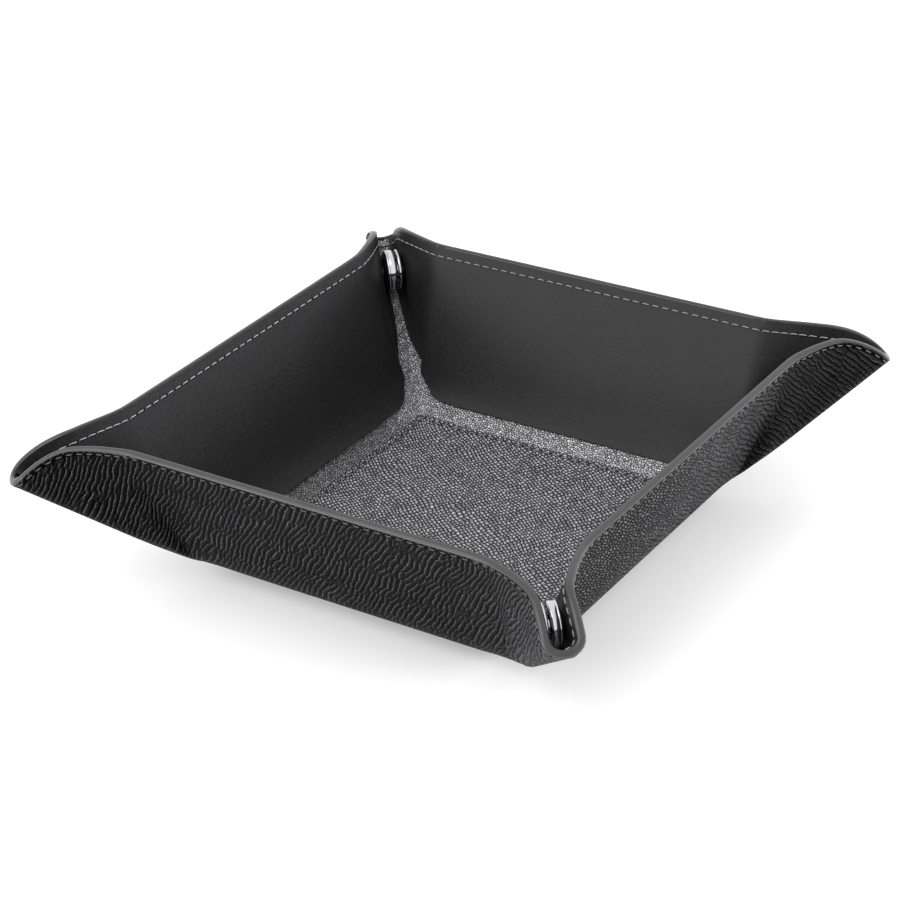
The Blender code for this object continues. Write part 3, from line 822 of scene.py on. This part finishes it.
# Smooth wall panels: black semi-matt leather glued inside each wall. Each runs
# round both creases and ends in the wings on a slanting cut, clear of the ridge.
PANEL_FOOT = 0.0030
FOOT_CORNER = 0.0018
MITRE_REACHES = (0.0108, 0.0130, 0.0160, 0.0190, 0.0220, 0.0260, 0.0320, 0.0540)
MITRE_WIDTHS = (0.00678, 0.0056, 0.0043, 0.0033, 0.0025, 0.0020, 0.0016, 0.0022)
FOOT_IN = 0.0062
FOOT_SPREAD = 0.95
FOOT_TOP = 0.0108
PANEL_COLUMNS = 28
PANEL_FINE_ROWS = 9
MITRE_ROUNDS = 8


def mitre_width(reach):
    """How far from the ridge a smooth panel is cut, by the distance out."""
    return np.interp(reach, MITRE_REACHES, MITRE_WIDTHS)


def mitre_limit(rises):
    """Half width of a wall panel at its slanting ends, with its foot rounded."""
    half = HALF_BASE - FOOT_IN + FOOT_SPREAD * (rises - PANEL_FOOT)
    half = np.where(rises > FOOT_TOP, 1.0, half)
    dip = np.clip((PANEL_FOOT + FOOT_CORNER - rises) / FOOT_CORNER, 0.0, 1.0)
    return half - FOOT_CORNER * (1.0 - np.sqrt(1.0 - dip * dip))


def to_mitre(near):
    """The angle at which a wing's smooth panel is cut, at one distance out."""
    angle = EIGHTH_TURN
    for _ in range(MITRE_ROUNDS):
        reach = near / CREASE_REACH * float(sheet_reach(np.array(max(angle, CREASE))))
        if angle < CREASE:
            reach = near * math.cos(CREASE) / math.cos(angle)
        angle = EIGHTH_TURN - math.asin(min(1.0, float(mitre_width(reach)) / reach))
    return angle


# Faintly clouded, with painted shade in a groove where the rim's seam is pulled in.
smooth_leather, tree, shader = start_look(
    "black_smooth_leather", (0.016, 0.016, 0.017), 0.45, 0.22)
flat_mm = flat_millimetres(tree)
skin = add_noise(tree, flat_mm, 1.1, 4.0, 0.65)
cloud = add_noise(tree, flat_mm, 0.05, 2.0)
add_relief(tree, shader, skin, 0.00005, 0.40)
grey = add_mix(tree, cloud, 0.013, 0.022)
grey = add_math(tree, "MULTIPLY", grey, add_range(tree, skin, 0.30, 0.70, 0.55, 1.5, "LINEAR"))
grey = add_groove_shade(tree, grey, rim_millimetres(tree), 3.15, 0.15, 0.45, 0.10)
add_cool_grey(tree, shader, grey, 1.06)
add_gloss(tree, shader, skin, 0.36, 0.50)

panel_wall = wall_places(PANEL_FOOT, WALL_SLANT, mitre_limit)
panel_rows = wing_distances(FOOT_TOP / math.cos(CREASE), PANEL_FINE_ROWS)
for turn, side in enumerate(WALL_SIDES):
    places = turn_flat(*panel_wall, turn)
    piece = ply_from_grid("smooth_" + side + "_wall_panel", *places, LINING_TOP, PANEL_TOP)
    piece.data.materials.append(smooth_leather)
    ride_wall(piece)
    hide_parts("wall_panel_" + side)
    for end in (1, -1):
        body = wing_body(turn, end)
        places = turn_flat(*wing_places(end, panel_rows, PANEL_COLUMNS, to_mitre), turn)
        piece = ply_from_grid("smooth_" + body + "_panel", *places, LINING_TOP, PANEL_TOP)
        piece.data.materials.append(smooth_leather)
        ride_wing(piece, end)
        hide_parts("wing_panel_" + body.replace("_wing", ""))

# Painted rim: all plies are trimmed together and the raw edge is burnished and
# coated with dark grey edge paint, which stands as a smooth rounded bead.
BEAD_PROFILE = ((-0.00045, 0.00002), (-0.00020, 0.00000), (0.00004, 0.00006),
                (0.00026, 0.00026), (0.00042, 0.00062), (0.00048, 0.00105),
                (0.00042, 0.00148), (0.00026, 0.00184), (0.00004, 0.00204),
                (-0.00020, 0.00211), (-0.00045, 0.00209))
WALL_RIM_POINTS = 41
WING_RIM_POINTS = 40
BEAD_SHARP_ANGLE = math.radians(70.0)


def rim_path(part, end):
    """Flat places along the rim of a wall or a wing, and the way out from each."""
    if part == "wall":
        half = float(border_half(np.array(WALL_SLANT)))
        v = np.linspace(-half, half, WALL_RIM_POINTS)
        u = np.full(WALL_RIM_POINTS, HALF_SHEET)
    else:
        u, v = wing_places(end, [CREASE_REACH], WING_RIM_POINTS, to_ridge)
        u, v = u[0], v[0]
    du, dv = np.gradient(u), np.gradient(v)
    out_u, out_v = dv, -du
    size = np.hypot(out_u, out_v) * np.where(out_u * u + out_v * v < 0.0, -1.0, 1.0)
    return u, v, out_u / size, out_v / size


def bead_piece(name, part, end, turn):
    """The bead of edge paint along the rim of one wall or one wing."""
    u, v, out_u, out_v = rim_path(part, end)
    ext = np.array([point[0] for point in BEAD_PROFILE])
    lift = np.array([point[1] for point in BEAD_PROFILE])
    bead_u = u[:, None] + out_u[:, None] * ext
    bead_v = v[:, None] + out_v[:, None] * ext
    middle, facing = fold(*turn_flat(bead_u, bead_v, turn))
    places = middle + (lift[None, :, None] - MIDDLE_LIFT) * facing
    rows, columns = bead_u.shape
    piece = blank_grid(name, rows, columns)
    piece.data.vertices.foreach_set("co", places.astype(np.float32).ravel())
    shape = bmesh.new()
    shape.from_mesh(piece.data)
    shape.verts.ensure_lookup_table()
    for layout in list(shape.loops.layers.uv):
        shape.loops.layers.uv.remove(layout)
    layout = shape.loops.layers.uv.new("Across")
    for row in range(rows - 1):
        first, after = row * columns, (row + 1) * columns
        shape.faces.new((shape.verts[first], shape.verts[after],
                         shape.verts[after + columns - 1], shape.verts[first + columns - 1]))
    for row in (0, rows - 1):
        shape.faces.new([shape.verts[row * columns + column] for column in range(columns)])
    for face in shape.faces:
        for loop in face.loops:
            loop[layout].uv = (loop.vert.index % columns / (columns - 1.0), 0.0)
    bmesh.ops.recalc_face_normals(shape, faces=shape.faces)
    shape.to_mesh(piece.data)
    shape.free()
    piece.data.shade_smooth()
    piece.data.set_sharp_from_angle(angle=BEAD_SHARP_ANGLE)
    return piece


def object_places(tree):
    """Each piece's own Object coordinates."""
    return tree.nodes.new("ShaderNodeTexCoord").outputs["Object"]


edge_paint, tree, shader = start_look("dark_edge_paint", (0.045, 0.045, 0.048), 0.32, 0.60)
shader.inputs["Coat Weight"].default_value = 0.45
shader.inputs["Coat Roughness"].default_value = 0.30
brushed = add_noise(tree, object_places(tree), 420.0, 3.0, 0.6)
add_relief(tree, shader, brushed, 0.00006, 0.3)
add_gloss(tree, shader, brushed, 0.26, 0.42)
across_rim = tree.nodes.new("ShaderNodeUVMap")
across_rim.uv_map = "Across"
to_front = split_places(tree, across_rim.outputs["UV"])[0]
# Darker towards the bead's inner side.
painted = add_range(tree, to_front, 0.58, 0.80, 1.0, 0.22)
grey = add_math(tree, "MULTIPLY", add_mix(tree, brushed, 0.012, 0.026), painted)
add_cool_grey(tree, shader, grey, 1.08)

for turn, side in enumerate(WALL_SIDES):
    bead = bead_piece("painted_rim_" + side + "_wall", "wall", 1, turn)
    bead.data.materials.append(edge_paint)
    ride_wall(bead)
    for end in (1, -1):
        bead = bead_piece("painted_rim_" + wing_body(turn, end), "wing", end, turn)
        bead.data.materials.append(edge_paint)
        ride_wing(bead, end)

# Seams: light grey waxed thread saddle-stitched round the rim, 3 mm in on the
# smooth side, and round the base panel. Each stitch dips into its two holes.
SEAM_INSET = 0.0030
OUTSIDE_INSET = 0.00095
BASE_SEAM_INSET = 0.0020
STITCH_PITCH = 0.0031
STITCH_LENGTH = 0.00275
STITCH_WIDTH = 0.00030
STITCH_HEIGHT = 0.00040
STITCH_SLANT = math.radians(-4.0)
STITCH_DIP = 0.00026
STITCH_HOOK = 0.00060
HOOK_START = 0.45
HOOK_FULL = 0.41
THREAD_LIFT = 0.00008
OUTSIDE_LIFT = 0.00002
THREAD_TWIST = 1400.0
BASE_SEAM_CORNER = 0.0012
ALONG_PROBE = 0.0004
SEAM_CORNER_POINTS = 7

bpy.ops.object.select_all(action="DESELECT")
bpy.ops.mesh.primitive_uv_sphere_add(segments=8, ring_count=7, radius=0.5)
pattern = bpy.context.object
bpy.ops.object.mode_set(mode="EDIT")
bpy.ops.mesh.select_all(action="SELECT")
bpy.ops.transform.rotate(value=math.radians(90.0), orient_axis="Y", center_override=(0.0, 0.0, 0.0))
bpy.ops.transform.resize(value=(STITCH_LENGTH, STITCH_WIDTH, STITCH_HEIGHT))
bpy.ops.object.mode_set(mode="OBJECT")
stitch_shape = np.array([vertex.co for vertex in pattern.data.vertices])
to_end = 2.0 * stitch_shape[:, 0] / STITCH_LENGTH
stitch_shape[:, 2] -= STITCH_DIP * to_end ** 2
stitch_shape[:, 1] += STITCH_HOOK * np.clip(to_end - HOOK_START, 0.0, 1.0) ** 1.5 / HOOK_FULL
stitch_faces = [list(face.vertices) for face in pattern.data.polygons]
bpy.data.objects.remove(pattern, do_unlink=True)


def stitch_row(name, u, v, lift):
    """A row of stitches along a flat line, one mesh for the row."""
    step = np.hypot(np.diff(u), np.diff(v))
    run = np.concatenate([[0.0], np.cumsum(step)])
    count = max(1, round(run[-1] / STITCH_PITCH))
    spots = (np.arange(count) + 0.5) * run[-1] / count
    at_u, at_v = np.interp(spots, run, u), np.interp(spots, run, v)
    ahead = np.minimum(spots + ALONG_PROBE, run[-1])
    behind = np.maximum(spots - ALONG_PROBE, 0.0)
    middle, facing = fold(at_u, at_v)
    front, _ = fold(np.interp(ahead, run, u), np.interp(ahead, run, v))
    rear, _ = fold(np.interp(behind, run, u), np.interp(behind, run, v))
    up = -facing if lift < MIDDLE_LIFT else facing
    along = front - rear
    along -= up * (along * up).sum(axis=-1, keepdims=True)
    along /= np.linalg.norm(along, axis=-1, keepdims=True)
    beside = np.cross(up, along)
    turned = math.cos(STITCH_SLANT) * along + math.sin(STITCH_SLANT) * beside
    beside = np.cross(up, turned)
    seat = middle + (lift - MIDDLE_LIFT) * facing
    places = (seat[:, None, :] + stitch_shape[None, :, 0:1] * turned[:, None, :]
              + stitch_shape[None, :, 1:2] * beside[:, None, :]
              + stitch_shape[None, :, 2:3] * up[:, None, :])
    faces = []
    for number in range(count):
        base = number * len(stitch_shape)
        faces += [[corner + base for corner in face] for face in stitch_faces]
    mesh = bpy.data.meshes.new(name)
    mesh.from_pydata(places.reshape(-1, 3).tolist(), [], faces)
    mesh.shade_smooth()
    row = bpy.data.objects.new(name, mesh)
    bpy.context.collection.objects.link(row)
    return row


def make_thread(name, colour, roughness, distortion, dark, light):
    """A twisted thread with darker and lighter strands."""
    finish, tree, shader = start_look(name, colour, roughness)
    strands = tree.nodes.new("ShaderNodeTexWave")
    strands.inputs["Scale"].default_value = THREAD_TWIST
    strands.inputs["Distortion"].default_value = distortion
    strands.bands_direction = "DIAGONAL"
    tree.links.new(object_places(tree), strands.inputs["Vector"])
    add_tone(tree, shader, strands.outputs["Fac"], dark, light)
    return finish, tree, shader, strands.outputs["Fac"]


grey_thread, tree, shader, twist = make_thread(
    "light_grey_thread", (0.30, 0.30, 0.31), 0.6, 1.0, (0.18, 0.18, 0.19), (0.48, 0.48, 0.49))
add_relief(tree, shader, twist, 0.00006, 0.5)
dark_thread = make_thread(
    "dark_grey_thread", (0.05, 0.05, 0.05), 0.5, 0.0, (0.07, 0.07, 0.07), (0.22, 0.22, 0.225))[0]


def seam_line(part, end, inset):
    """Flat places of a seam that runs a set distance inside the rim."""
    u, v, out_u, out_v = rim_path(part, end)
    u, v = u - inset * out_u, v - inset * out_v
    return (u, v) if end > 0 else (u[::-1], v[::-1])


for turn, side in enumerate(WALL_SIDES):
    for face, inset, lift, thread in (
            ("inside", SEAM_INSET, PANEL_TOP + THREAD_LIFT, grey_thread),
            ("outside", OUTSIDE_INSET, OUTSIDE_LIFT, dark_thread)):
        flat_line = turn_flat(*seam_line("wall", 1, inset), turn)
        row = stitch_row(face + "_stitches_" + side + "_wall", *flat_line, lift)
        row.data.materials.append(thread)
        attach(row, side + "_wall")
        if face == "inside":
            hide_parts("rim_thread_" + side)
        for end in (1, -1):
            flat_line = turn_flat(*seam_line("wing", end, inset), turn)
            row = stitch_row(face + "_stitches_" + wing_body(turn, end), *flat_line, lift)
            row.data.materials.append(thread)
            ride_wing(row, end)

seam_half = BASE_PANEL_HALF - BASE_SEAM_INSET
round_in = seam_half - BASE_SEAM_CORNER
quarter_arc = np.linspace(0.0, 0.5 * math.pi, SEAM_CORNER_POINTS)
loop_u, loop_v = [], []
for turn in range(4):
    arc_u = round_in + BASE_SEAM_CORNER * np.cos(quarter_arc)
    arc_v = round_in + BASE_SEAM_CORNER * np.sin(quarter_arc)
    arc_u, arc_v = turn_flat(arc_u, arc_v, turn)
    loop_u += list(arc_u)
    loop_v += list(arc_v)
loop_u.append(loop_u[0])
loop_v.append(loop_v[0])
row = stitch_row("base_panel_stitches", np.array(loop_u), np.array(loop_v),
                 PANEL_TOP + THREAD_LIFT)
row.data.materials.append(grey_thread)
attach(row, "base")
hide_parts("base_panel_thread")

# Press studs: chromed brass, 12 mm across. The thick socket sits in the left and
# right walls' wings and the thinner stud in the others; each is riveted through.
RIVET_RADIUS = 0.0043
SNAP_ON_RIDGE_BEND = 0.0007
SNAP_FROM_CREASE = 0.00375
SNAP_ASIDE = 0.5 * math.pi * RIDGE_GAP + RIVET_RADIUS - SNAP_ON_RIDGE_BEND
SNAP_ALONG = (SNAP_ASIDE + RIVET_RADIUS + SNAP_FROM_CREASE) / math.tan(EIGHTH_TURN - CREASE)
SOCKET_PROFILE = (
    (0.0, 0.25), (3.8, 0.25), (4.7, 0.55), (5.6, 0.95), (5.9, 1.10), (6.0, 1.30), (6.0, 1.62),
    (5.93, 1.72), (6.0, 1.82), (6.0, 3.15), (5.92, 3.38), (5.72, 3.54), (5.4, 3.60), (4.9, 3.58),
    (4.6, 3.40), (4.2, 3.34), (3.6, 3.42), (3.0, 3.55), (2.78, 3.40), (2.75, 3.1), (2.75, 1.25),
    (0.0, 1.22))
STUD_PROFILE = (
    (0.0, 0.25), (3.8, 0.25), (4.7, 0.52), (5.6, 0.92), (5.92, 1.12), (6.0, 1.32), (5.98, 1.62),
    (5.85, 1.84), (5.6, 1.96), (5.1, 2.00), (3.0, 1.98), (2.4, 2.02), (1.85, 2.15), (1.62, 2.45),
    (1.66, 2.9), (1.85, 3.3), (1.88, 3.7), (1.7, 4.08), (1.3, 4.26), (0.0, 4.28))
SPIN_STEPS = 64
METAL_SHARP_ANGLE = math.radians(40.0)


def make_metal(name, colour, roughness, scale, detail, cloudiness, gloss, tones):
    """A metal whose gloss and tone vary a little with the marks on it."""
    finish, tree, shader = start_look(name, colour, roughness)
    shader.inputs["Metallic"].default_value = 1.0
    marks = add_noise(tree, object_places(tree), scale, detail, cloudiness)
    add_gloss(tree, shader, marks, *gloss)
    add_tone(tree, shader, marks, *tones)
    return finish


chrome = make_metal("chromed_brass", (0.70, 0.70, 0.72), 0.08, 300.0, 3.0, 0.6,
                    (0.04, 0.11), ((0.62, 0.62, 0.64), (0.78, 0.78, 0.80)))
rivet_steel = make_metal("rivet_steel", (0.50, 0.50, 0.52), 0.35, 900.0, 2.0, 0.5,
                         (0.28, 0.45), ((0.42, 0.42, 0.44), (0.56, 0.56, 0.58)))


def turned_piece(name, profile, place):
    """A turned metal part: its profile in millimetres is spun about its axis."""
    mesh = bpy.data.meshes.new(name)
    points = [(radius * 0.001, 0.0, height * 0.001) for radius, height in profile]
    mesh.from_pydata(points, [(k, k + 1) for k in range(len(points) - 1)], [])
    piece = bpy.data.objects.new(name, mesh)
    bpy.context.collection.objects.link(piece)
    bpy.ops.object.select_all(action="DESELECT")
    piece.select_set(True)
    bpy.context.view_layer.objects.active = piece
    bpy.ops.object.mode_set(mode="EDIT")
    bpy.ops.mesh.select_all(action="SELECT")
    bpy.ops.mesh.spin(steps=SPIN_STEPS, angle=2.0 * math.pi,
                      center=(0.0, 0.0, 0.0), axis=(0.0, 0.0, 1.0))
    bpy.ops.mesh.select_all(action="SELECT")
    bpy.ops.mesh.remove_doubles(threshold=0.000002)
    bpy.ops.mesh.normals_make_consistent(inside=False)
    bpy.ops.object.mode_set(mode="OBJECT")
    piece.data.shade_smooth()
    piece.data.set_sharp_from_angle(angle=METAL_SHARP_ANGLE)
    piece.data.transform(place)
    return piece


for turn, side in enumerate(WALL_SIDES):
    for end in (1, -1):
        turned = EIGHTH_TURN - math.atan2(SNAP_ASIDE, SNAP_ALONG)
        reach = math.hypot(SNAP_ASIDE, SNAP_ALONG)
        at_u = np.array([HALF_BASE + reach * math.cos(turned)])
        at_v = np.array([end * (HALF_BASE + reach * math.sin(turned))])
        wing_way = Vector((-1.0, end, 0.0)).normalized()
        spot = Vector(soft_sheet(at_u, at_v)[0]) + (PANEL_TOP - MIDDLE_LIFT) * wing_way
        facing = wing_way.to_track_quat("Z", "X").to_matrix().to_4x4()
        place = Matrix.Rotation(0.5 * math.pi * turn, 4, "Z") @ Matrix.Translation(spot) @ facing
        corner = CORNER_NAMES[turn if end > 0 else turn - 1]
        half = "socket" if side in ("left", "right") else "stud"
        profile = SOCKET_PROFILE if half == "socket" else STUD_PROFILE
        piece = turned_piece("chromed_" + half + "_" + corner, profile, place)
        piece.data.materials.append(chrome)
        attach(piece, wing_body(turn, end))
        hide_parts("snap_" + half + "_" + corner)
        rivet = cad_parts["snap_" + half + "_rivet_" + corner]
        rivet.material_slots[0].material = rivet_steel
